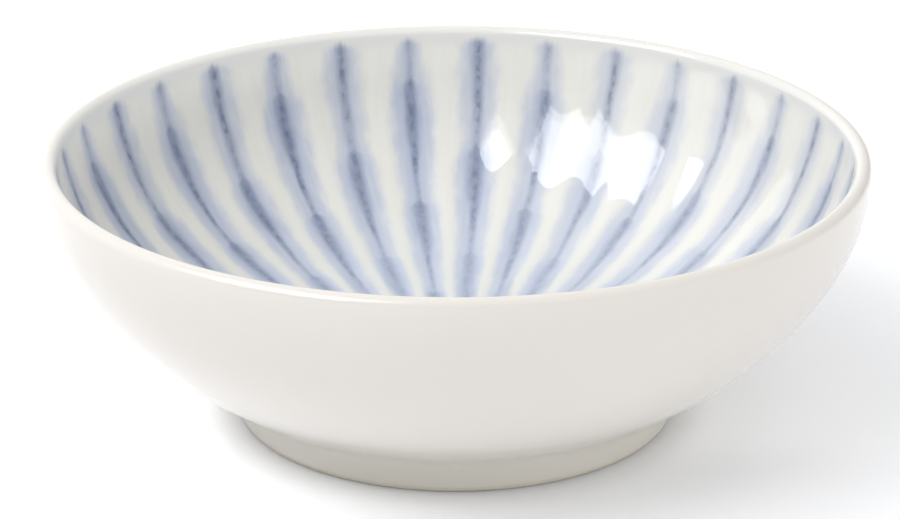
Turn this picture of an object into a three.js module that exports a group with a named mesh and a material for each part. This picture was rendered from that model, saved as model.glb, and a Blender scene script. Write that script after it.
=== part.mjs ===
// Shallow porcelain bowl: a turned wall on an attached foot ring, a clear glaze and brushed strokes inside.
// Millimetres, +Z up. The origin is the centre of the foot's resting edge, and +Z is the turning axis.

import * as THREE from 'three';

const { degToRad } = THREE.MathUtils;

// Finished bowl, measured over the glaze
const HEIGHT = 55.2;
const RIM_RADIUS = 82.5;
const LIP_RADIUS = 1.7;
const LIP_LEAN = degToRad(8.4);

// Outer wall, from the crease above the foot to the upright rim
const WALL_SLOPE = degToRad(27);
const WALL_LOWER_PULL = 13.1;
const WALL_UPPER_PULL = 22;

// Lining, from the lip to the middle of the floor
const FLOOR_HEIGHT = 7.8;
const LINING_UPPER_PULL = 29;
const LINING_FLOOR_PULL = 55;

// Attached foot ring
const FOOT_RADIUS = 44;
const FOOT_HEIGHT = 4.9;
const FOOT_EDGE_WIDTH = 3.4;
const FOOT_CHAMFER = 0.5;
const FOOT_OUTER_CHAMFER = 1;
const FOOT_TAPER = 0.8;

// Crease that flares from the foot's side into the wall
const CREASE_RADIUS = 7.1;
const CREASE_HEIGHT = 2.1;

// Glaze, its clearance from the porcelain, and the bare band that is wiped off at the foot
const GLAZE_THICKNESS = 0.3;
const GLAZE_CLEARANCE = 0.1;
const BARE_BAND = 1.2;
const WELL_POOL_RADIUS = 1.6;

// Brush strokes on the lining, each a row of brush marks that swell at a node and thin out to the next
const STROKE_COUNT = 32;
const STROKE_TOP_GAP = 1.8;
const STROKE_END_RADIUS = 10;
const STROKE_CLEARANCE = 0.15;
const STROKE_RISE = 0.3;
const STROKE_THICK = 3.2;
const STROKE_THIN = 1.3;
const STROKE_PITCH_SHARE = 0.46;
const FIRST_NODE = -1;
const NODE_PITCH = 28.4;
const NODE_STAGGER = 0.46;
const TOP_PRESSURE = 0.35;

// Facets
const TURN_STEPS = 64;
const FOOT_CREASE_STEPS = 1;
const CREASE_STEPS = 2;
const WALL_STEPS = 8;
const LIP_STEPS = 4;
const LINING_STEPS = 10;
const POOL_STEPS = 3;

// Halvings in a search along the lining
const HALVINGS = 40;

// Turned contour over the glaze, in the half plane of radius and height
const lipHeight = HEIGHT - LIP_RADIUS;
const lipCentre = new THREE.Vector2(RIM_RADIUS - LIP_RADIUS, lipHeight);
const creaseCentre = new THREE.Vector2(FOOT_RADIUS + CREASE_RADIUS, CREASE_HEIGHT);
const porcelainDepth = GLAZE_THICKNESS + GLAZE_CLEARANCE;

function polar(centre, radius, angle) {
  return new THREE.Vector2(centre.x + radius * Math.cos(angle), centre.y + radius * Math.sin(angle));
}

// The porcelain of foot and wall meets at the foot's height
const seamDepth = CREASE_RADIUS + porcelainDepth;
const seamAngle = Math.PI - Math.asin((FOOT_HEIGHT - CREASE_HEIGHT) / seamDepth);
const seam = new THREE.Vector2(creaseCentre.x + seamDepth * Math.cos(seamAngle), FOOT_HEIGHT);
const creaseEnd = Math.PI / 2 + WALL_SLOPE;
const wallStart = polar(creaseCentre, CREASE_RADIUS, creaseEnd);
const lipEnd = Math.PI - LIP_LEAN;
const liningStart = polar(lipCentre, LIP_RADIUS, lipEnd);

const footSide = new THREE.LineCurve(
  new THREE.Vector2(FOOT_RADIUS, BARE_BAND),
  new THREE.Vector2(FOOT_RADIUS, CREASE_HEIGHT),
);

function creaseArc(start, end) {
  return new THREE.EllipseCurve(
    creaseCentre.x, creaseCentre.y, CREASE_RADIUS, CREASE_RADIUS, start, end, true,
  );
}

const footCrease = creaseArc(Math.PI, seamAngle);
const wallCrease = creaseArc(seamAngle, creaseEnd);

const outerWall = new THREE.CubicBezierCurve(
  wallStart,
  polar(wallStart, WALL_LOWER_PULL, WALL_SLOPE),
  new THREE.Vector2(RIM_RADIUS, lipHeight - WALL_UPPER_PULL),
  new THREE.Vector2(RIM_RADIUS, lipHeight),
);

const lip = new THREE.EllipseCurve(
  lipCentre.x, lipCentre.y, LIP_RADIUS, LIP_RADIUS, 0, lipEnd, false,
);

const lining = new THREE.CubicBezierCurve(
  liningStart,
  polar(liningStart, LINING_UPPER_PULL, lipEnd + Math.PI / 2),
  new THREE.Vector2(LINING_FLOOR_PULL, FLOOR_HEIGHT),
  new THREE.Vector2(0, FLOOR_HEIGHT),
);

// Points along a curve, set back from its open side by a depth
function setBack(curve, steps, depth) {
  const points = [];
  for (let step = 0; step <= steps; step += 1) {
    const along = step / steps;
    const point = curve.getPointAt(along);
    const tangent = curve.getTangentAt(along);
    points.push(new THREE.Vector2(point.x - depth * tangent.y, point.y + depth * tangent.x));
  }
  return points;
}

// The contour from the seam in the crease over the lip to the middle of the floor
function bowlContour(depth) {
  return [
    ...setBack(wallCrease, CREASE_STEPS, depth),
    ...setBack(outerWall, WALL_STEPS, depth).slice(1),
    ...setBack(lip, LIP_STEPS, depth).slice(1),
    ...setBack(lining, LINING_STEPS, depth).slice(1),
  ];
}

// A body turned about +Z, with a facet's middle on +X and on each stroke
function turned(profile) {
  const geometry = new THREE.LatheGeometry(profile, TURN_STEPS, Math.PI / TURN_STEPS);
  return geometry.rotateX(Math.PI / 2);
}

const footOuter = FOOT_RADIUS - porcelainDepth;
const footInner = footOuter - FOOT_OUTER_CHAMFER - FOOT_EDGE_WIDTH - FOOT_CHAMFER;
const wellRadius = footInner - FOOT_TAPER;

function bowlWallGeometry() {
  return turned([
    new THREE.Vector2(0, FOOT_HEIGHT),
    seam,
    ...bowlContour(porcelainDepth).slice(1),
  ]);
}

function footRingGeometry() {
  const innerEdge = new THREE.Vector2(footInner + FOOT_CHAMFER, 0);
  return turned([
    innerEdge,
    new THREE.Vector2(footOuter - FOOT_OUTER_CHAMFER, 0),
    new THREE.Vector2(footOuter, FOOT_OUTER_CHAMFER),
    ...setBack(footCrease, FOOT_CREASE_STEPS, porcelainDepth).slice(0, -1),
    seam,
    new THREE.Vector2(wellRadius, FOOT_HEIGHT),
    new THREE.Vector2(footInner, FOOT_CHAMFER),
    innerEdge.clone(),
  ]);
}

// One skin from the foot's side over the lip to the floor: the body side first, then the open side
function glazeCoatGeometry() {
  const skin = (depth) => [
    setBack(footSide, 1, depth)[0],
    ...setBack(footCrease, FOOT_CREASE_STEPS, depth),
    ...bowlContour(depth).slice(1),
  ];
  return turned([...skin(GLAZE_THICKNESS).reverse(), ...skin(0)]);
}

// The skin in the foot's well, pooled in its corner
function wellGlazeGeometry() {
  const lean = FOOT_TAPER / (FOOT_HEIGHT - FOOT_CHAMFER);
  const sideAt = (height, depth) => new THREE.Vector2(
    wellRadius + (FOOT_HEIGHT - height) * lean - depth, height,
  );
  const ceiling = FOOT_HEIGHT - porcelainDepth;
  const bodyCeiling = FOOT_HEIGHT - GLAZE_CLEARANCE;
  const corner = sideAt(ceiling, porcelainDepth);
  const pool = new THREE.QuadraticBezierCurve(
    new THREE.Vector2(corner.x - WELL_POOL_RADIUS, ceiling),
    corner,
    sideAt(ceiling - WELL_POOL_RADIUS, porcelainDepth),
  );
  return turned([
    new THREE.Vector2(0, ceiling),
    ...pool.getPoints(POOL_STEPS),
    sideAt(BARE_BAND, porcelainDepth),
    sideAt(BARE_BAND, GLAZE_CLEARANCE),
    sideAt(bodyCeiling, GLAZE_CLEARANCE),
    new THREE.Vector2(0, bodyCeiling),
  ]);
}

// Brush pressure along one mark, from its node to the next: a blunt start, a swell and a long thin tail
const MARK_STATIONS = [
  { along: 0, pressure: 0.55 },
  { along: 0.06, pressure: 1 },
  { along: 0.34, pressure: 0.6 },
  { along: 0.66, pressure: 0 },
  { along: 0.98, pressure: 0 },
];

const liningLength = lining.getLength();

// The lining's facets below a stroke, which lie nearest the axis at a facet's middle
const facetCloseness = Math.cos(Math.PI / TURN_STEPS);
const liningFacets = setBack(lining, LINING_STEPS, 0).map(
  (point) => new THREE.Vector2(point.x * facetCloseness, point.y),
);

// Place on those facets at a distance from the lip, with the direction down the wall
function onLining(distance) {
  const place = (distance / liningLength) * LINING_STEPS;
  const index = Math.min(Math.floor(place), LINING_STEPS - 1);
  const near = liningFacets[index];
  const far = liningFacets[index + 1];
  const point = near.clone().lerp(far, place - index);
  const tangent = far.clone().sub(near).normalize();
  return { point, tangent };
}

// Distance from the lip at which the lining has closed in to a radius
function distanceAtRadius(radius) {
  let near = 0;
  let far = liningLength;
  for (let halving = 0; halving < HALVINGS; halving += 1) {
    const middle = (near + far) / 2;
    if (onLining(middle).point.x > radius) near = middle;
    else far = middle;
  }
  return near;
}

function strokeStations(staggered) {
  const end = distanceAtRadius(STROKE_END_RADIUS);
  const stations = [{ distance: STROKE_TOP_GAP, pressure: staggered ? 0 : TOP_PRESSURE }];
  let node = FIRST_NODE + (staggered ? NODE_STAGGER - 1 : 0) * NODE_PITCH;
  let press = TOP_PRESSURE;
  while (node < end) {
    for (const { along, pressure } of MARK_STATIONS) {
      const distance = node + along * NODE_PITCH;
      const inside = distance > STROKE_TOP_GAP && distance < end;
      if (inside) stations.push({ distance, pressure: press * pressure });
    }
    node += NODE_PITCH;
    press = 1;
  }
  return [...stations, { distance: end, pressure: 0 }];
}

// A ribbon with a flat back and a crowned front, along the +Y meridian of the lining
function strokeGeometry(staggered) {
  const positions = [];
  const stations = strokeStations(staggered);
  for (const { distance, pressure } of stations) {
    const { point, tangent } = onLining(distance);
    const pitch = (2 * Math.PI * point.x) / STROKE_COUNT;
    const share = Math.min(1, (STROKE_PITCH_SHARE * pitch) / STROKE_THICK);
    const halfWidth = (share * THREE.MathUtils.lerp(STROKE_THIN, STROKE_THICK, pressure)) / 2;
    const lifted = (lift) => [point.x + lift * tangent.y, point.y - lift * tangent.x];
    const [backRadius, backHeight] = lifted(STROKE_CLEARANCE);
    const [frontRadius, frontHeight] = lifted(STROKE_CLEARANCE + STROKE_RISE);
    positions.push(halfWidth, backRadius, backHeight);
    positions.push(-halfWidth, backRadius, backHeight);
    positions.push(0, frontRadius, frontHeight);
  }
  const faces = [0, 1, 2];
  for (let ring = 0; ring < stations.length - 1; ring += 1) {
    for (let side = 0; side < 3; side += 1) {
      const here = 3 * ring + side;
      const next = 3 * ring + ((side + 1) % 3);
      faces.push(here, here + 3, next);
      faces.push(next, here + 3, next + 3);
    }
  }
  const last = 3 * (stations.length - 1);
  faces.push(last, last + 2, last + 1);
  const geometry = new THREE.BufferGeometry();
  geometry.setAttribute('position', new THREE.Float32BufferAttribute(positions, 3));
  geometry.setIndex(faces);
  geometry.computeVertexNormals();
  return geometry;
}

const porcelain = new THREE.MeshStandardMaterial({ color: 0xe9e4d8, roughness: 0.6, metalness: 0 });
const glaze = new THREE.MeshStandardMaterial({ color: 0xe8e8e1, roughness: 0.22, metalness: 0 });
const cobalt = new THREE.MeshStandardMaterial({ color: 0x8391b3, roughness: 0.25, metalness: 0 });

const bowl = new THREE.Group();

function addPiece(name, geometry, material) {
  const piece = new THREE.Mesh(geometry, material);
  piece.name = name;
  bowl.add(piece);
  return piece;
}

addPiece('bowl_wall', bowlWallGeometry(), porcelain);
addPiece('foot_ring', footRingGeometry(), porcelain);
addPiece('glaze_coat', glazeCoatGeometry(), glaze);
addPiece('well_glaze', wellGlazeGeometry(), glaze);

const strokeShapes = [strokeGeometry(false), strokeGeometry(true)];
for (let index = 0; index < STROKE_COUNT; index += 1) {
  const name = `stroke_${String(index + 1).padStart(2, '0')}`;
  const stroke = addPiece(name, strokeShapes[index % 2], cobalt);
  stroke.rotation.z = (-2 * Math.PI * index) / STROKE_COUNT;
}

export default bowl;
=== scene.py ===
"""Shallow porcelain bowl: fine glaze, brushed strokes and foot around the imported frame, in a pale studio."""

import math
from types import SimpleNamespace

import bpy
import numpy as np
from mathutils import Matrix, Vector


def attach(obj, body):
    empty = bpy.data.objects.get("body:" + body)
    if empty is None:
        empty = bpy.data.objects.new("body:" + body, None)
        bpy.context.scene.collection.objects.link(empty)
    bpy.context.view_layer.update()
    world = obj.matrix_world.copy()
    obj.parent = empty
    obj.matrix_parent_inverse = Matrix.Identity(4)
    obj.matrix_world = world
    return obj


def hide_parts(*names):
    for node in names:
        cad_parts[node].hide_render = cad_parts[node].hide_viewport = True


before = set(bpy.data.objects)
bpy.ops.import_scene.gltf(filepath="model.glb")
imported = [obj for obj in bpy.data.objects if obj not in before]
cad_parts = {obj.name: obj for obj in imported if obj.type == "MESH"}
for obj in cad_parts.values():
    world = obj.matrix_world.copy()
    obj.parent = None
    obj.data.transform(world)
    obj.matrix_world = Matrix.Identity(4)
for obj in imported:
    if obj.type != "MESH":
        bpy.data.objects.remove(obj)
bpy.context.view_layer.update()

MM = 0.001
FULL_TURN = 2 * math.pi

# Finished bowl over the glaze, in millimetres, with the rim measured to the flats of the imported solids
HEIGHT = 55.2
RIM_RADIUS = 82.4
LIP_RADIUS = 1.7
LIP_LEAN = math.radians(8.4)
WALL_SLOPE = math.radians(27)
WALL_LOWER_PULL = 13.1
WALL_UPPER_PULL = 22
FLOOR_HEIGHT = 7.8
LINING_UPPER_PULL = 29
LINING_FLOOR_PULL = 55

# Foot ring and the crease above it
FOOT_RADIUS = 44
FOOT_HEIGHT = 4.9
FOOT_EDGE_WIDTH = 3.4
FOOT_INNER_ROUND = 0.5
FOOT_OUTER_ROUND = 1
FOOT_OUTER_PULLS = (0.75, 0.4)
FOOT_TAPER = 0.8
CREASE_RADIUS = 7.1
CREASE_HEIGHT = 2.1

# Glaze, its clearance from the porcelain, and the bare band at the foot
GLAZE_THICKNESS = 0.3
GLAZE_CLEARANCE = 0.1
PORCELAIN_DEPTH = GLAZE_THICKNESS + GLAZE_CLEARANCE
BARE_BAND = 1.2
BARE_SINK = 0.04
WELL_POOL_RADIUS = 1.6

# Brush strokes, each a row of marks that swell and taper
STROKE_COUNT = 32
STROKE_TOP_GAP = 1.8
STROKE_END_RADIUS = 10
STROKE_THICK = 3.2
STROKE_THIN = 1.3
STROKE_PITCH_SHARE = 0.46
STROKE_LIFT = 0.01
STROKE_CROWN = 0.015
NODE_PITCH = 28.4
NODE_STAGGER = 0.46
FIRST_NODE = -1.0
TOP_PRESSURE = 0.35
NODE_SHARES = (0, 0.06, 0.34, 0.66, 0.96, 1)
NODE_PRESSURES = (0.55, 1, 0.6, 0, 0, 0.55)
TOP_MARK_END = (0.94, 1)

# Shallow fluting with the strokes in its valleys: its depth, and where it starts and ends
FLUTE_DEPTH = 0.57
FLUTE_START_DISTANCE = (0.5, 9.0)
FLUTE_END_RADIUS = (8.0, 26.0)

# Facets of the fine meshes, the angle of a sharp edge, and how near the axis counts as on it
TURN_STEPS = STROKE_COUNT * 12
STROKE_ROWS = 96
STROKE_COLUMNS = 9
LINING_STEPS = 400
SHARP_ANGLE = math.radians(40)
AXIS_TOLERANCE = 1e-6

# Where a point isn't on the lining, its distance from the lip is this far before it
OFF_LINING = -500.0

# Painted brushwork: how a mark goes from its start to the next one, and a stroke from its middle outwards
MARK_PRESSURE = (
    (0.0, 0.04), (0.015, 0.55), (0.04, 0.92), (0.1, 1.0), (0.3, 0.95), (0.46, 0.6), (0.62, 0.22),
    (0.78, 0.05), (1.0, 0.04),
)
MARK_WETNESS = (
    (0.0, 0.56), (0.05, 0.86), (0.12, 1.0), (0.36, 1.0), (0.52, 0.74), (0.7, 0.44), (0.86, 0.3),
    (0.95, 0.38), (1.0, 0.56),
)
MARK_DARKNESS = ((0.0, 0.5), (0.025, 0.72), (0.06, 0.82), (0.5, 0.83), (0.7, 0.76), (0.86, 0.5), (1.0, 0.5))
LINE_FADE = ((0.0, 1.0), (0.15, 0.96), (0.35, 0.78), (0.55, 0.47), (0.75, 0.2), (1.0, 0.0))
WASH_FADE = (
    (0.0, 1.0), (0.2, 0.95), (0.35, 0.84), (0.5, 0.63), (0.6, 0.44), (0.7, 0.27), (0.8, 0.13), (0.9, 0.04),
    (1.0, 0.0),
)
STROKE_SEED = 7.31
MARK_SEED = 17.3
LINE_WANDER = 0.9
NODE_SCATTER = 0.12
NODE_BLUNTNESS = 0.48
WASH_LEAD = 2.4
LINE_SWELL = 1.35
LINE_PITCH_SHARE = 0.34
GRAIN_REACH = 0.9
WASH_PITCH_SHARE = 0.35
WASH_SWELL = 0.18
WASH_TOP_NARROWING = 0.07
TOP_RAGGEDNESS = 1.2
TOP_BLUNTNESS = 0.25
MIDDLE_RADIUS = (8.5, 12.5)

# Painted light: the side of the lining where the strokes are painted paler and thinner, and the cosines where
# it fades in
LIT_SIDE_TURN = math.radians(45)
LIT_SIDE_SPAN = (0.72, 0.97)

# Glaze zones by distance from the lip along the face, in millimetres, positive on the lining
INSIDE_ZONE = (-4.0, 2.0)
LIP_OUTSIDE_ZONE = (-2.4, -0.6)
LIP_INSIDE_ZONE = (4.0, 0.5)
MIDDLE_GREY_ZONE = (22.0, 72.0)
LOWER_OUTSIDE_ZONE = (-30.0, -40.0)
POLISH_ZONE = (-5.0, -0.5)

# Zones of the outside in metres: by height for the glaze pooled at the foot with painted shade, and by x for
# the side where that painted shade is lighter, as if lit from the left
FOOT_POOL_AND_SHADE_HEIGHTS = (1 * MM, 9 * MM)
LIT_FOOT_SIDE = (-32 * MM, -8 * MM)
# Painted light: heights over which the lower wall is painted whiter, as if lit from the floor
FLOOR_LIT_HEIGHTS = (14 * MM, 38 * MM)

# Finish of the glaze and of the bare porcelain
CERAMIC_IOR = 1.52
OUTSIDE_ROUGHNESS = 0.17
INSIDE_ROUGHNESS = 0.045
PORCELAIN_ROUGHNESS = 0.62
STREAKS_AROUND = 45.0
SPECK_SCALE = 80.0
CLOUD_SCALE = 34.0
RIPPLE_SCALE = 150.0
GRAIN_SCALE = 2200.0
STAIN_SCALE = 120.0

# Camera
CAMERA_TARGET = Vector((0, 0, 31.34 * MM))
CAMERA_DISTANCE = 720.3 * MM
CAMERA_AZIMUTH = math.radians(-86.2)
CAMERA_ELEVATION = math.radians(21.12)
CAMERA_LENS = 143.27
CAMERA_SENSOR = 36
CAMERA_SHIFT = -5.5 / 900

# Even surroundings, a softbox given by the tangents of its width and height, and a broad glow
LAMP_TARGET = Vector((0, 0, 30 * MM))
SURROUND_LEVEL = 0.47
SOFTBOX_AZIMUTH = math.radians(-144.4)
SOFTBOX_ELEVATION = math.radians(47.9)
SOFTBOX_WIDTH = 0.78
SOFTBOX_HEIGHT = 0.59
SOFTBOX_SKEW = 0.14
SOFTBOX_SHINE = 4.0
GLOW_AZIMUTH = math.radians(150)
GLOW_ELEVATION = math.radians(25)
GLOW_SPAN = (0.1, 0.95)
GLOW_LEVEL = 1.4

# Studio floor, with its half width in metres
STUDIO_FLOOR_HALF = 4.0
STUDIO_FLOOR_COLOUR = (0.925, 0.938, 0.965, 1)
STUDIO_FLOOR_ROUGHNESS = 0.9


def smooth(low, high, value):
    share = np.clip((np.asarray(value, float) - low) / (high - low), 0, 1)
    return share * share * (3 - 2 * share)


def direction(angle):
    return np.array([math.cos(angle), math.sin(angle)])


# Curves in the half plane of radius and height: each gives points and the normals of its open side
def open_side(tangents):
    lengths = np.linalg.norm(tangents, axis=1, keepdims=True)
    unit = tangents / lengths
    return np.column_stack((unit[:, 1], -unit[:, 0]))


def line(start, end, steps):
    share = np.linspace(0, 1, steps + 1)[:, None]
    start, end = np.asarray(start, float), np.asarray(end, float)
    points = start + share * (end - start)
    return points, open_side(np.repeat([end - start], steps + 1, axis=0))


def arc(centre, radius, start, end, steps):
    angles = np.linspace(start, end, steps + 1)
    around = np.column_stack((np.cos(angles), np.sin(angles)))
    tangents = np.column_stack((-np.sin(angles), np.cos(angles))) * np.sign(end - start)
    return np.asarray(centre) + radius * around, open_side(tangents)


def bezier(controls, steps):
    a, b, c, d = (np.asarray(point, float) for point in controls)
    t = np.linspace(0, 1, steps + 1)[:, None]
    points = (1 - t) ** 3 * a + 3 * (1 - t) ** 2 * t * b + 3 * (1 - t) * t ** 2 * c + t ** 3 * d
    tangents = (1 - t) ** 2 * (b - a) + 2 * (1 - t) * t * (c - b) + t ** 2 * (d - c)
    return points, open_side(tangents)


lip_height = HEIGHT - LIP_RADIUS
lip_centre = np.array([RIM_RADIUS - LIP_RADIUS, lip_height])
lip_end = math.pi - LIP_LEAN
lining_start = lip_centre + LIP_RADIUS * direction(lip_end)
crease_centre = np.array([FOOT_RADIUS + CREASE_RADIUS, CREASE_HEIGHT])
seam_angle = math.pi - math.asin((FOOT_HEIGHT - CREASE_HEIGHT) / (CREASE_RADIUS + PORCELAIN_DEPTH))
crease_end = math.pi / 2 + WALL_SLOPE
wall_start = crease_centre + CREASE_RADIUS * direction(crease_end)


def foot_side(steps):
    return line((FOOT_RADIUS, BARE_BAND), (FOOT_RADIUS, CREASE_HEIGHT), steps)


def foot_crease(steps):
    return arc(crease_centre, CREASE_RADIUS, math.pi, seam_angle, steps)


def wall_crease(steps):
    return arc(crease_centre, CREASE_RADIUS, seam_angle, crease_end, steps)


def outer_wall(steps):
    return bezier((
        wall_start,
        wall_start + WALL_LOWER_PULL * direction(WALL_SLOPE),
        (RIM_RADIUS, lip_height - WALL_UPPER_PULL),
        (RIM_RADIUS, lip_height),
    ), steps)


def lip(steps):
    return arc(lip_centre, LIP_RADIUS, 0, lip_end, steps)


def lining(steps):
    return bezier((
        lining_start,
        lining_start + LINING_UPPER_PULL * direction(lip_end + math.pi / 2),
        (LINING_FLOOR_PULL, FLOOR_HEIGHT),
        (0, FLOOR_HEIGHT),
    ), steps)


def joined(pieces):
    points = [pieces[0][0]] + [piece[0][1:] for piece in pieces[1:]]
    normals = [pieces[0][1]] + [piece[1][1:] for piece in pieces[1:]]
    return np.concatenate(points), np.concatenate(normals)


def distances(points):
    steps = np.linalg.norm(np.diff(points, axis=0), axis=1)
    return np.concatenate(([0], np.cumsum(steps)))


# The lining by distance from the lip
lining_points, lining_normals = lining(LINING_STEPS)
lining_distance = distances(lining_points)


def on_lining(distance):
    point = [np.interp(distance, lining_distance, lining_points[:, axis]) for axis in (0, 1)]
    normal = [np.interp(distance, lining_distance, lining_normals[:, axis]) for axis in (0, 1)]
    return np.stack(point, -1), np.stack(normal, -1)


def flute_height(distance, radius, across):
    """Height of the fluting over the turned lining: none at a stroke (across 0), most midway between two."""
    ridge = (1 - np.cos(FULL_TURN * across)) / 2
    size = FLUTE_DEPTH * radius / RIM_RADIUS
    return size * ridge * smooth(*FLUTE_START_DISTANCE, distance) * smooth(*FLUTE_END_RADIUS, radius)


# Meshes
def mesh_piece(name, vertices, faces, lining_values, node, material):
    mesh = bpy.data.meshes.new(name)
    mesh.from_pydata((np.asarray(vertices) * MM).tolist(), [], faces)
    attribute = mesh.attributes.new("lining", "FLOAT", "POINT")
    attribute.data.foreach_set("value", np.asarray(lining_values, np.float32))
    mesh.polygons.foreach_set("use_smooth", [True] * len(mesh.polygons))
    mesh.set_sharp_from_angle(angle=SHARP_ANGLE)
    mesh.materials.append(material)
    mesh.update()
    piece = bpy.data.objects.new(name, mesh)
    bpy.context.scene.collection.objects.link(piece)
    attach(piece, "root")
    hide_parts(node)


def ring_faces(rows, columns, closed):
    faces = []
    for row in range(rows - 1 + closed):
        here, above = row * columns, ((row + 1) % rows) * columns
        for column in range(columns):
            beside = (column + 1) % columns
            faces.append((here + column, here + beside, above + beside, above + column))
    return faces


def turned(name, profile, values, node, material, raise_by=None):
    """A body turned about +Z: the profile runs from axis to axis, or closes on itself."""
    profile = np.asarray(profile, float)
    values = np.asarray(values, float)
    capped = profile[0, 0] < AXIS_TOLERANCE
    inner = slice(1, -1) if capped else slice(0, -1)
    rows = profile[inner]
    angles = np.arange(TURN_STEPS) * FULL_TURN / TURN_STEPS
    radius = np.repeat(rows[:, :1], TURN_STEPS, axis=1)
    height = np.repeat(rows[:, 1:], TURN_STEPS, axis=1)
    if raise_by is not None:
        outward, upward = raise_by(angles)
        radius, height = radius + outward[inner], height + upward[inner]
    around = [radius * np.cos(angles), radius * np.sin(angles), height]
    vertices = np.stack(around, -1).reshape(-1, 3).tolist()
    lining_values = np.repeat(values[inner], TURN_STEPS).tolist()
    faces = ring_faces(len(rows), TURN_STEPS, not capped)
    if capped:
        first, last = len(vertices), len(vertices) + 1
        vertices += [(0, 0, profile[0, 1]), (0, 0, profile[-1, 1])]
        lining_values += [values[0], values[-1]]
        end = (len(rows) - 1) * TURN_STEPS
        for column in range(TURN_STEPS):
            beside = (column + 1) % TURN_STEPS
            faces.append((first, beside, column))
            faces.append((last, end + column, end + beside))
    mesh_piece(name, vertices, faces, lining_values, node, material)


# Node trees
class Tree:
    """Short names for making and linking nodes in one tree."""

    def __init__(self, tree):
        self.tree = tree

    def node(self, kind, **settings):
        node = self.tree.nodes.new(kind)
        for key, value in settings.items():
            setattr(node, key, value)
        return node

    def put(self, socket, value):
        if isinstance(value, bpy.types.NodeSocket):
            self.tree.links.new(value, socket)
        else:
            socket.default_value = value

    def math(self, operation, *values):
        node = self.node("ShaderNodeMath", operation=operation)
        for socket, value in zip(node.inputs, values):
            self.put(socket, value)
        return node.outputs[0]

    def times(self, first, *others):
        for other in others:
            first = self.math("MULTIPLY", first, other)
        return first

    def plus(self, first, *others):
        for other in others:
            first = self.math("ADD", first, other)
        return first

    def minus(self, first, other):
        return self.math("SUBTRACT", first, other)

    def over(self, first, other):
        return self.math("DIVIDE", first, other)

    def ramp(self, value, low, high, start=0.0, end=1.0):
        """A smooth step from start to end while the value goes from low to high."""
        node = self.node("ShaderNodeMapRange", interpolation_type="SMOOTHSTEP")
        for socket, setting in zip(node.inputs, (value, low, high, start, end)):
            self.put(socket, setting)
        return node.outputs[0]

    def curve(self, value, points):
        """A smooth curve through points given in order."""
        node = self.node("ShaderNodeFloatCurve")
        curve = node.mapping.curves[0]
        curve.points[0].location = points[0]
        curve.points[1].location = points[-1]
        for x, y in points[1:-1]:
            curve.points.new(x, y)
        node.mapping.update()
        self.put(node.inputs["Value"], value)
        return node.outputs[0]

    def noise(self, scale, detail, vector=None, w=None):
        node = self.node("ShaderNodeTexNoise", noise_dimensions="1D" if vector is None else "3D")
        if vector is None:
            self.put(node.inputs["W"], w)
        else:
            self.put(node.inputs["Vector"], vector)
        node.inputs["Scale"].default_value = scale
        node.inputs["Detail"].default_value = detail
        return node.outputs["Fac"]

    def random(self, value):
        node = self.node("ShaderNodeTexWhiteNoise", noise_dimensions="1D")
        self.put(node.inputs["W"], value)
        return node.outputs["Value"]

    def vector(self, x, y, z):
        node = self.node("ShaderNodeCombineXYZ")
        for socket, value in zip(node.inputs, (x, y, z)):
            self.put(socket, value)
        return node.outputs[0]

    def split(self, vector):
        node = self.node("ShaderNodeSeparateXYZ")
        self.put(node.inputs[0], vector)
        return node.outputs

    def dot(self, vector, axis):
        node = self.node("ShaderNodeVectorMath", operation="DOT_PRODUCT")
        self.put(node.inputs[0], vector)
        node.inputs[1].default_value = axis
        return node.outputs["Value"]

    def length(self, vector):
        node = self.node("ShaderNodeVectorMath", operation="LENGTH")
        self.put(node.inputs[0], vector)
        return node.outputs["Value"]

    def mix(self, share, low, high):
        node = self.node("ShaderNodeMix", data_type="RGBA")
        self.put(node.inputs[0], share)
        self.put(node.inputs[6], low)
        self.put(node.inputs[7], high)
        return node.outputs[2]

    def bump(self, height, strength, distance):
        node = self.node("ShaderNodeBump")
        node.inputs["Strength"].default_value = strength
        node.inputs["Distance"].default_value = distance
        self.put(node.inputs["Height"], height)
        return node.outputs["Normal"]


def srgb(red, green, blue):
    def linear(value):
        value = value / 255
        return value / 12.92 if value <= 0.04045 else ((value + 0.055) / 1.055) ** 2.4
    return (linear(red), linear(green), linear(blue), 1.0)


# Colours
OUTSIDE_WHITE = srgb(227, 222, 216)
# Painted light: the whiter lower wall, as if lit by the floor
FLOOR_LIT_WHITE = srgb(233, 229, 222)
LINING_CREAM = srgb(239, 238, 232)
STREAK_CREAM = srgb(237, 235, 226)
# Painted light: the lip is whiter than the outside where it catches the light from above
LIT_LIP_WHITE = srgb(234, 234, 230)
WASH_BLUE = srgb(187, 196, 216)
STROKE_BLUE = srgb(120, 131, 158)
GRAIN_BLUE = srgb(78, 88, 116)
# Grey of the glaze pooled at the foot with painted shade, also used for the random clouds and stains
POOL_SHADE_AND_STAIN_GREY = srgb(220, 216, 204)
MIDDLE_GREY = srgb(216, 219, 216)
BARE_PORCELAIN = srgb(216, 210, 198)
PORCELAIN_GRAIN = srgb(188, 176, 158)
SPECK_BROWN = srgb(168, 156, 140)


# Brushwork
def lining_place(tree, coordinates):
    """Distance from the lip and radius in millimetres, the angle, and two coordinates in metres."""
    x, y, z = tree.split(coordinates)
    along = tree.node("ShaderNodeAttribute", attribute_name="lining").outputs["Fac"]
    squares = tree.plus(tree.times(x, x), tree.times(y, y))
    radius = tree.over(tree.math("SQRT", squares), MM)
    return SimpleNamespace(along=along, radius=radius, angle=tree.math("ARCTAN2", y, x), x=x, z=z)


def painted_light_side(tree, angle):
    """Share of the side of the lining where the strokes are painted paler, as painted light."""
    return tree.ramp(tree.math("COSINE", tree.minus(angle, LIT_SIDE_TURN)), *LIT_SIDE_SPAN)


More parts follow.
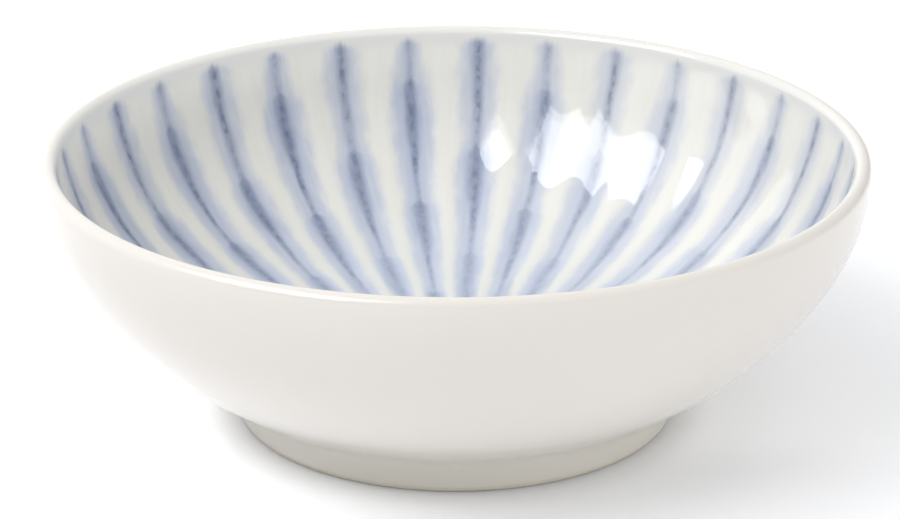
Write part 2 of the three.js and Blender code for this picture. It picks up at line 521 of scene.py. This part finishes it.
def nearest_stroke(tree, at):
    """The stroke nearest to a point, and where the point lies from its wandering middle."""
    turn = tree.times(tree.minus(math.pi / 2, at.angle), STROKE_COUNT / FULL_TURN)
    nearest = tree.math("ROUND", turn)
    across = tree.minus(turn, nearest)
    number = tree.math("FLOORED_MODULO", nearest, STROKE_COUNT)
    pitch = tree.times(at.radius, FULL_TURN / STROKE_COUNT)
    seed = tree.times(number, STROKE_SEED)
    wander = tree.noise(1.0, 2.0, w=tree.plus(tree.times(at.along, 0.06), seed))
    offset = tree.plus(tree.times(across, pitch), tree.times(tree.minus(wander, 0.5), LINE_WANDER))
    return SimpleNamespace(
        number=number,
        odd=tree.math("FLOORED_MODULO", number, 2),
        seed=seed,
        pitch=pitch,
        across=across,
        offset=offset,
        aside=tree.math("ABSOLUTE", offset),
        rounding=tree.math("SQRT", tree.plus(tree.times(offset, offset), 1.0)),
    )


def mark_of_stroke(tree, at, stroke):
    """How hard, wet and dark the brush is at a point, from its place in a mark of the stroke."""
    scatter = tree.times(tree.minus(tree.random(stroke.number), 0.5), NODE_SCATTER)
    late = tree.minus(tree.times(stroke.odd, NODE_STAGGER), scatter)
    lag = tree.times(tree.minus(stroke.rounding, 1.0), NODE_BLUNTNESS)
    start = tree.plus(lag, FIRST_NODE - WASH_LEAD)
    marks = tree.minus(tree.over(tree.minus(at.along, start), NODE_PITCH), late)
    share = tree.math("FRACT", marks)
    passed = tree.plus(marks, stroke.odd)
    fullness = tree.ramp(passed, 0.9, 1.12, TOP_PRESSURE, 1.0)
    number = tree.math("FLOOR", marks)
    load = tree.random(tree.plus(stroke.seed, tree.times(number, MARK_SEED)))
    weak_top = tree.times(stroke.odd, tree.ramp(passed, 0.92, 1.04, 0.34, 0.0))
    darkness = tree.times(
        tree.curve(share, MARK_DARKNESS),
        tree.plus(tree.times(load, 0.22), 0.88),
        tree.ramp(at.along, 30.0, 60.0, 0.93, 0.65),
        # Painted light: strokes painted lighter on the lit side of the lining
        tree.ramp(at.pale, 0.0, 1.0, 1.0, 0.82),
        tree.minus(1.0, weak_top),
    )
    return SimpleNamespace(
        fullness=fullness,
        pressure=tree.times(tree.curve(share, MARK_PRESSURE), fullness),
        wetness=tree.times(tree.curve(share, MARK_WETNESS), fullness),
        darkness=darkness,
    )


def brush_noise(tree, at, stroke, across, along):
    """Noise of a given fineness across and along the stroke."""
    place = tree.vector(tree.times(stroke.offset, across), tree.times(at.along, along), stroke.seed)
    return tree.noise(1.0, 3.0, vector=place)


def brush_line(tree, at, stroke, mark, mottle, bead):
    """Share of the soft-edged line."""
    top_reach = tree.ramp(mark.fullness, TOP_PRESSURE, 1.0, 1.8, 1.2)
    reach = tree.times(
        tree.plus(tree.times(mark.pressure, LINE_SWELL), top_reach),
        tree.ramp(at.along, 34.0, 60.0, 1.0, 0.85),
        # Painted light: lines painted narrower on the lit side of the lining
        tree.ramp(at.pale, 0.0, 1.0, 1.0, 0.84),
    )
    reach = tree.math("MINIMUM", reach, tree.times(stroke.pitch, LINE_PITCH_SHARE))
    reach = tree.times(reach, tree.ramp(mottle, 0.2, 0.8, 0.85, 1.15))
    outward = tree.math("MINIMUM", tree.over(stroke.aside, reach), 1.0)
    return tree.times(
        tree.curve(outward, LINE_FADE),
        mark.darkness,
        tree.ramp(mark.fullness, TOP_PRESSURE, 1.0, 0.82, 1.0),
        tree.ramp(bead, 0.25, 0.7, 0.82, 1.08),
    )


def line_grains(tree, at, stroke, mark, bead):
    """Share of the dark grains of pigment along the middle of the line."""
    return tree.times(
        tree.ramp(stroke.aside, 0.0, GRAIN_REACH, 1.0, 0.0),
        tree.ramp(bead, 0.4, 0.7),
        mark.darkness,
        tree.ramp(at.along, 26.0, 58.0, 0.62, 0.36),
        tree.ramp(mark.pressure, 0.2, 1.0, 1.0, 0.55),
    )


def pale_wash(tree, at, stroke, mark, mottle, streak):
    """Share of the wash that spreads round the line."""
    narrowing = tree.plus(tree.times(stroke.odd, WASH_TOP_NARROWING), WASH_TOP_NARROWING)
    narrowing = tree.times(narrowing, tree.ramp(at.along, 1.0, 12.0, 1.0, 0.0))
    pitch_share = tree.plus(tree.times(mark.wetness, WASH_SWELL), tree.minus(WASH_PITCH_SHARE, narrowing))
    reach = tree.times(
        stroke.pitch,
        tree.ramp(mottle, 0.25, 0.75, 0.82, 1.18),
        tree.ramp(at.radius, 40.0, 78.0, 1.3, 1.04),
        pitch_share,
    )
    outward = tree.math("MINIMUM", tree.over(stroke.aside, reach), 1.0)
    body = tree.ramp(mark.fullness, TOP_PRESSURE, 1.0, 0.81, 0.9)
    # Painted light: the wash painted thinner on the lit side of the lining
    lit_side_fade = tree.times(at.pale, tree.ramp(at.along, 14.0, 40.0, 0.34, 0.12))
    return tree.times(
        tree.curve(outward, WASH_FADE),
        tree.plus(tree.times(mark.wetness, 0.12), body),
        tree.ramp(streak, 0.25, 0.75, 0.89, 1.07),
        tree.ramp(at.along, 44.0, 62.0, 1.0, 1.12),
        tree.minus(1.0, lit_side_fade),
        tree.ramp(tree.math("ABSOLUTE", stroke.across), 0.5, 0.26),
    )


def brushwork(tree, at):
    """Shares of the wash, the line and its grains, and the relief of the line."""
    stroke = nearest_stroke(tree, at)
    mark = mark_of_stroke(tree, at, stroke)
    streak = brush_noise(tree, at, stroke, across=1.3, along=0.05)
    mottle = brush_noise(tree, at, stroke, across=0.42, along=0.2)
    bead = brush_noise(tree, at, stroke, across=0.7, along=0.5)

    # All of it starts below the lip, with a ragged edge, and ends round the bare middle
    ragged = tree.times(tree.minus(streak, 0.5), TOP_RAGGEDNESS)
    top = tree.minus(tree.plus(at.along, ragged), tree.times(stroke.rounding, TOP_BLUNTNESS))
    painted = tree.times(tree.ramp(top, -0.3, 1.9), tree.ramp(at.radius, *MIDDLE_RADIUS))
    line_share = tree.times(brush_line(tree, at, stroke, mark, mottle, bead), painted)
    return SimpleNamespace(
        wash=tree.times(pale_wash(tree, at, stroke, mark, mottle, streak), painted),
        line=line_share,
        grains=tree.times(line_grains(tree, at, stroke, mark, bead), painted),
        relief=tree.times(bead, line_share, 0.5),
    )


# Materials
def new_material(name):
    material = bpy.data.materials.new(name)
    material.use_nodes = True
    shader = material.node_tree.nodes["Principled BSDF"]
    tree = Tree(material.node_tree)
    return material, tree, shader, tree.node("ShaderNodeTexCoord").outputs["Object"]


def specks(tree, coordinates):
    """Share of the faint, sparse iron specks in the porcelain, seen through the glaze."""
    cells = tree.node("ShaderNodeTexVoronoi")
    tree.put(cells.inputs["Vector"], coordinates)
    cells.inputs["Scale"].default_value = SPECK_SCALE
    size_chance, depth_chance, _ = tree.split(cells.outputs["Color"])
    size = tree.ramp(size_chance, 0.5, 1.0, 0.004, 0.05)
    spot = tree.ramp(tree.over(cells.outputs["Distance"], size), 0.4, 1.0, 1.0, 0.0)
    return tree.times(spot, tree.ramp(depth_chance, 0.0, 1.0, 0.15, 0.5))


def lining_white(tree, at):
    """Streaked cream, greyer towards the middle."""
    around = [tree.times(tree.math(turn, at.angle), STREAKS_AROUND) for turn in ("COSINE", "SINE")]
    streak = tree.noise(1.0, 3.0, vector=tree.vector(*around, tree.times(at.along, 0.05)))
    cream = tree.mix(tree.ramp(streak, 0.35, 0.7, 0.0, 0.6), LINING_CREAM, STREAK_CREAM)
    return tree.mix(tree.ramp(at.along, *MIDDLE_GREY_ZONE, 0.0, 0.85), cream, MIDDLE_GREY)


def glazed_white(tree, at, coordinates):
    """The white of the lining, lip and outside, with the lip and lower wall painted lighter as painted light,
    greyer glaze pooled at the foot with painted shade that is lighter on the left, and specks.
    """
    # Painted light: the lower wall is painted whiter, as if lit from the floor
    outside = tree.mix(tree.ramp(at.z, *FLOOR_LIT_HEIGHTS), FLOOR_LIT_WHITE, OUTSIDE_WHITE)
    white = tree.mix(tree.ramp(at.along, *INSIDE_ZONE), outside, lining_white(tree, at))
    # Painted light: a whiter band over the lip, where it catches the light from above
    lit_lip = tree.times(tree.ramp(at.along, *LIP_OUTSIDE_ZONE), tree.ramp(at.along, *LIP_INSIDE_ZONE))
    white = tree.mix(lit_lip, white, LIT_LIP_WHITE)
    # Glaze pooled at the foot with painted shade: greyer towards the foot, and painted lighter on the left,
    # where the light falls
    pooled = tree.times(
        tree.ramp(at.z, *FOOT_POOL_AND_SHADE_HEIGHTS, 0.8, 0.0),
        tree.ramp(at.along, *LOWER_OUTSIDE_ZONE),
        tree.ramp(at.x, *LIT_FOOT_SIDE, 0.25, 1.0),
    )
    white = tree.mix(pooled, white, POOL_SHADE_AND_STAIN_GREY)
    cloud = tree.noise(CLOUD_SCALE, 3.0, vector=coordinates)
    white = tree.mix(tree.ramp(cloud, 0.35, 0.75, 0.0, 0.1), white, POOL_SHADE_AND_STAIN_GREY)
    return tree.mix(specks(tree, coordinates), white, SPECK_BROWN)


def glaze_material(name):
    """Clear glaze over white porcelain, with the brushwork on the lining."""
    material, tree, shader, coordinates = new_material(name)
    at = lining_place(tree, coordinates)
    # Painted light: the side of the lining where the strokes are painted paler
    at.pale = painted_light_side(tree, at.angle)
    paint = brushwork(tree, at)
    colour = tree.mix(paint.wash, glazed_white(tree, at, coordinates), WASH_BLUE)
    colour = tree.mix(paint.line, colour, STROKE_BLUE)
    colour = tree.mix(paint.grains, colour, GRAIN_BLUE)
    tree.put(shader.inputs["Base Color"], colour)
    polish = tree.ramp(at.along, *POLISH_ZONE, OUTSIDE_ROUGHNESS, INSIDE_ROUGHNESS)
    tree.put(shader.inputs["Roughness"], polish)
    shader.inputs["IOR"].default_value = CERAMIC_IOR
    ripple = tree.noise(RIPPLE_SCALE, 1.0, vector=coordinates)
    relief = tree.plus(ripple, paint.relief)
    tree.put(shader.inputs["Normal"], tree.bump(relief, strength=0.1, distance=0.12 * MM))
    return material


def porcelain_material(name):
    """Fired porcelain without glaze: off-white, fine-grained and dry."""
    material, tree, shader, coordinates = new_material(name)
    grain = tree.noise(GRAIN_SCALE, 4.0, vector=coordinates)
    stain = tree.noise(STAIN_SCALE, 4.0, vector=coordinates)
    colour = tree.mix(tree.ramp(stain, 0.4, 0.8, 0.0, 0.35), BARE_PORCELAIN, POOL_SHADE_AND_STAIN_GREY)
    colour = tree.mix(tree.ramp(grain, 0.55, 0.8, 0.0, 0.3), colour, PORCELAIN_GRAIN)
    tree.put(shader.inputs["Base Color"], colour)
    shader.inputs["Roughness"].default_value = PORCELAIN_ROUGHNESS
    shader.inputs["IOR"].default_value = CERAMIC_IOR
    tree.put(shader.inputs["Normal"], tree.bump(grain, strength=0.35, distance=0.05 * MM))
    return material


glaze = glaze_material("clear_glaze")
stroke_glaze = glaze_material("cobalt_strokes")
porcelain = porcelain_material("porcelain")


# Pieces
def off_lining(points):
    return np.full(len(points), OFF_LINING)


def make_wall():
    points, normals = joined([wall_crease(6), outer_wall(48), lip(12), lining(60)])
    profile = np.concatenate(([(0, FOOT_HEIGHT)], points - PORCELAIN_DEPTH * normals))
    profile[-1, 0] = 0
    turned("wall", profile, off_lining(profile), "bowl_wall", porcelain)


def make_glaze():
    """One skin from the foot's side over the lip to the middle, fluted on the lining."""
    face, face_normals = joined([
        foot_side(3), foot_crease(6), wall_crease(12), outer_wall(64), lip(20), lining(110),
    ])
    back, back_normals = joined([
        foot_side(2), foot_crease(3), wall_crease(6), outer_wall(32), lip(8), lining(40),
    ])
    back = (back - GLAZE_THICKNESS * back_normals)[::-1]
    back[0, 0] = 0
    face[-1, 0] = 0
    along = distances(face)
    along = along - along[-1] + lining_distance[-1]
    profile = np.concatenate((back, face))
    values = np.concatenate((off_lining(back), along))

    def flutes(angles):
        turn = (math.pi / 2 - angles) * STROKE_COUNT / FULL_TURN
        across = turn - np.round(turn)
        on_face = flute_height(along[:, None], face[:, :1], across[None, :])
        height = np.concatenate((np.zeros((len(back), len(angles))), on_face))
        normals = np.concatenate((back_normals, face_normals))
        return height * normals[:, :1], height * normals[:, 1:]

    turned("glaze", profile, values, "glaze_coat", glaze, flutes)


def foot_inner_radius():
    return FOOT_RADIUS - PORCELAIN_DEPTH - FOOT_OUTER_ROUND - FOOT_EDGE_WIDTH - FOOT_INNER_ROUND


def make_foot():
    """A ring with rounded edges, bare and flush with the glaze below the glaze's end."""
    outer = FOOT_RADIUS - PORCELAIN_DEPTH
    inner = foot_inner_radius()
    inner_end = inner + FOOT_INNER_ROUND
    edge_start = outer - FOOT_OUTER_ROUND
    edge_pull, side_pull = FOOT_OUTER_PULLS
    bare = np.array([FOOT_RADIUS - BARE_SINK, BARE_BAND - BARE_SINK])
    ledge = (outer, BARE_BAND)
    inner_top = (inner - FOOT_TAPER, FOOT_HEIGHT)
    side, side_normals = foot_crease(6)
    side = side - PORCELAIN_DEPTH * side_normals
    points, _ = joined([
        arc((inner_end, FOOT_INNER_ROUND), FOOT_INNER_ROUND, math.pi, 1.5 * math.pi, 6),
        line((inner_end, 0), (edge_start, 0), 4),
        bezier(((edge_start, 0), (edge_start + edge_pull, 0), (bare[0], side_pull), bare), 10),
        line(bare, ledge, 1),
        line(ledge, side[0], 2),
        (side, side_normals),
        line(side[-1], inner_top, 4),
        line(inner_top, (inner, FOOT_INNER_ROUND), 6),
    ])
    turned("foot", points, off_lining(points), "foot_ring", porcelain)


def make_well():
    """The glaze in the foot's well, pooled in its corner."""
    inner = foot_inner_radius()
    lean = FOOT_TAPER / (FOOT_HEIGHT - FOOT_INNER_ROUND)

    def side(height, depth):
        return (inner - (height - FOOT_INNER_ROUND) * lean - depth, height)

    ceiling = FOOT_HEIGHT - PORCELAIN_DEPTH
    body_ceiling = FOOT_HEIGHT - GLAZE_CLEARANCE
    corner = side(ceiling, PORCELAIN_DEPTH)
    pool_start = (corner[0] - WELL_POOL_RADIUS, ceiling)
    pool_end = side(ceiling - WELL_POOL_RADIUS, PORCELAIN_DEPTH)
    points, _ = joined([
        line((0, ceiling), pool_start, 12),
        bezier((pool_start, corner, corner, pool_end), 10),
        line(pool_end, side(BARE_BAND, PORCELAIN_DEPTH), 3),
        line(side(BARE_BAND, PORCELAIN_DEPTH), side(BARE_BAND, GLAZE_CLEARANCE), 1),
        line(side(BARE_BAND, GLAZE_CLEARANCE), side(body_ceiling, GLAZE_CLEARANCE), 3),
        line(side(body_ceiling, GLAZE_CLEARANCE), (0, body_ceiling), 8),
    ])
    turned("well", points, off_lining(points), "well_glaze", glaze)


def stroke_half_width(distance, radius, staggered):
    marks = (distance - FIRST_NODE) / NODE_PITCH - staggered * NODE_STAGGER
    pressure = np.interp(marks % 1.0, NODE_SHARES, NODE_PRESSURES)
    pressure = pressure * np.interp(marks + staggered, TOP_MARK_END, (TOP_PRESSURE, 1))
    pitch = FULL_TURN * radius / STROKE_COUNT
    share = np.minimum(1, STROKE_PITCH_SHARE * pitch / STROKE_THICK)
    return share * (STROKE_THIN + (STROKE_THICK - STROKE_THIN) * pressure) / 2


def make_stroke(index):
    """A film with feathered edges in the valley of the fluting."""
    end = np.interp(-STROKE_END_RADIUS, -lining_points[:, 0], lining_distance)
    distance = np.linspace(STROKE_TOP_GAP, end, STROKE_ROWS)
    point, normal = on_lining(distance)
    radius = point[:, 0]
    half_width = stroke_half_width(distance, radius, index % 2)
    column = np.linspace(-1, 1, STROKE_COLUMNS)
    aside = half_width[:, None] * column[None, :]
    across = aside * STROKE_COUNT / (FULL_TURN * radius[:, None])
    flute = flute_height(distance[:, None], radius[:, None], across)
    centre = math.pi / 2 - index * FULL_TURN / STROKE_COUNT
    angle = centre - aside / radius[:, None]

    def layer(lift):
        height = flute + lift
        ring = radius[:, None] + height * normal[:, :1]
        level = point[:, 1:] + height * normal[:, 1:]
        return np.stack((ring * np.cos(angle), ring * np.sin(angle), level), -1)

    crown = STROKE_LIFT + STROKE_CROWN * (1 - np.square(column))
    front = layer(crown[None, :])
    back = layer(np.full_like(crown, STROKE_LIFT)[None, :])[:, -2:0:-1]
    loops = np.concatenate((front, back), axis=1)
    columns = loops.shape[1]
    vertices = loops.reshape(-1, 3)
    faces = ring_faces(STROKE_ROWS, columns, False)
    last = (STROKE_ROWS - 1) * columns
    faces.append(tuple(range(columns))[::-1])
    faces.append(tuple(last + column for column in range(columns)))
    values = np.repeat(distance, columns)
    node = f"stroke_{index + 1:02d}"
    mesh_piece(f"brush_{node}", vertices, faces, values, node, stroke_glaze)


make_wall()
make_glaze()
make_foot()
make_well()
for stroke_index in range(STROKE_COUNT):
    make_stroke(stroke_index)


# Studio
def painted_floor_light(tree, coordinates):
    """Painted light that the floor adds for the camera and reflections: a pool of light most on the left and
    far off, and none beside the foot.
    """
    away = tree.length(coordinates)
    from_left = tree.ramp(tree.dot(coordinates, (1, 0, 0)), -60 * MM, 25 * MM, 0.43, 0.155)
    behind = tree.ramp(tree.dot(coordinates, (0, 1, 0)), -34 * MM, -10 * MM)
    behind = tree.times(behind, tree.ramp(away, 60 * MM, 100 * MM, 0.09, 0.03))
    far = tree.ramp(away, 105 * MM, 220 * MM, 0.0, 0.25)
    beside_foot = tree.ramp(away, 41.5 * MM, 53.5 * MM)
    paths = tree.node("ShaderNodeLightPath")
    seen = tree.math("MAXIMUM", paths.outputs["Is Camera Ray"], paths.outputs["Is Glossy Ray"])
    return tree.times(beside_foot, tree.plus(from_left, behind, far), seen)


def make_floor():
    material, tree, shader, coordinates = new_material("floor")
    shader.inputs["Base Color"].default_value = STUDIO_FLOOR_COLOUR
    shader.inputs["Roughness"].default_value = STUDIO_FLOOR_ROUGHNESS
    shader.inputs["Specular IOR Level"].default_value = 0.0
    lift = tree.node("ShaderNodeEmission")
    # Painted light and shade on the floor, seen by the camera and in reflections
    tree.put(lift.inputs["Strength"], painted_floor_light(tree, coordinates))
    both = tree.node("ShaderNodeAddShader")
    tree.put(both.inputs[0], shader.outputs[0])
    tree.put(both.inputs[1], lift.outputs[0])
    tree.put(material.node_tree.nodes["Material Output"].inputs["Surface"], both.outputs[0])
    mesh = bpy.data.meshes.new("floor")
    half = STUDIO_FLOOR_HALF
    corners = [(-half, -half, 0), (half, -half, 0), (half, half, 0), (-half, half, 0)]
    mesh.from_pydata(corners, [], [(0, 1, 2, 3)])
    mesh.materials.append(material)
    floor = bpy.data.objects.new("floor", mesh)
    bpy.context.scene.collection.objects.link(floor)


def from_sphere(azimuth, elevation):
    flat = math.cos(elevation)
    return Vector((flat * math.cos(azimuth), flat * math.sin(azimuth), math.sin(elevation)))


def aim(thing, target, distance, azimuth, elevation):
    thing.location = target + distance * from_sphere(azimuth, elevation)
    away = thing.location - target
    thing.rotation_euler = away.to_track_quat("Z", "Y").to_euler()


def make_light(name, azimuth, elevation, distance, size, watts, mirrored):
    """A lamp at angles in degrees and a distance in metres, which the camera doesn't see."""
    light = bpy.data.lights.new(name, "AREA")
    light.shape = "RECTANGLE"
    light.size, light.size_y = size
    light.energy = watts
    lamp = bpy.data.objects.new(name, light)
    lamp.visible_glossy = mirrored
    lamp.visible_camera = False
    bpy.context.scene.collection.objects.link(lamp)
    aim(lamp, LAMP_TARGET, distance, math.radians(azimuth), math.radians(elevation))


def softbox_share(tree, ray):
    """1 in directions within the softbox, which reaches lower on its front side, and 0 elsewhere."""
    out = from_sphere(SOFTBOX_AZIMUTH, SOFTBOX_ELEVATION)
    side = Vector((0, 0, 1)).cross(out).normalized()
    rise = out.cross(side)
    ahead, across, above = (tree.dot(ray, axis) for axis in (out, side, rise))
    half_width = tree.times(ahead, SOFTBOX_WIDTH / 2)
    half_height = tree.times(ahead, SOFTBOX_HEIGHT / 2)
    skewed = tree.times(tree.plus(across, half_width), SOFTBOX_SKEW)
    in_width = tree.math("LESS_THAN", tree.math("ABSOLUTE", across), half_width)
    under_top = tree.math("LESS_THAN", above, half_height)
    over_foot = tree.math("GREATER_THAN", tree.plus(above, skewed), tree.times(half_height, -1.0))
    return tree.times(in_width, under_top, over_foot)


def make_world():
    """Even pale surroundings, white to the camera, and a softbox and a glow that the glaze reflects."""
    world = bpy.data.worlds.new("studio")
    bpy.context.scene.world = world
    world.use_nodes = True
    tree = Tree(world.node_tree)
    background = world.node_tree.nodes["Background"]
    background.inputs["Color"].default_value = (1.0, 1.0, 1.0, 1)
    ray = tree.node("ShaderNodeTexCoord").outputs["Generated"]
    paths = tree.node("ShaderNodeLightPath")
    white = tree.times(paths.outputs["Is Camera Ray"], 1.0 - SURROUND_LEVEL)
    glow = tree.ramp(tree.dot(ray, from_sphere(GLOW_AZIMUTH, GLOW_ELEVATION)), *GLOW_SPAN)
    mirrored = tree.plus(tree.times(softbox_share(tree, ray), SOFTBOX_SHINE), tree.times(glow, GLOW_LEVEL))
    mirrored = tree.times(mirrored, paths.outputs["Is Glossy Ray"])
    tree.put(background.inputs["Strength"], tree.plus(white, SURROUND_LEVEL, mirrored))


def make_camera():
    camera = bpy.data.cameras.new("camera")
    camera.lens = CAMERA_LENS
    camera.sensor_width = CAMERA_SENSOR
    camera.shift_x = CAMERA_SHIFT
    holder = bpy.data.objects.new("camera", camera)
    bpy.context.scene.collection.objects.link(holder)
    aim(holder, CAMERA_TARGET, CAMERA_DISTANCE, CAMERA_AZIMUTH, CAMERA_ELEVATION)
    bpy.context.scene.camera = holder


make_floor()
make_light("softbox", -144.4, 49.8, distance=1.2, size=(1.06, 0.71), watts=5.8, mirrored=True)
make_light("left_panel", 180, 60, distance=1.6, size=(1.6, 1.2), watts=2.4, mirrored=False)
make_light("front_panel", -102, 7, distance=1.8, size=(2.0, 0.5), watts=2.7, mirrored=False)
make_light("right_panel", -12, 2.5, distance=1.6, size=(1.6, 0.2), watts=6.4, mirrored=False)
make_light("top_panel", -90, 82, distance=1.6, size=(1.6, 1.6), watts=7.6, mirrored=False)
make_world()
make_camera()
bpy.context.scene.view_settings.view_transform = "Standard"
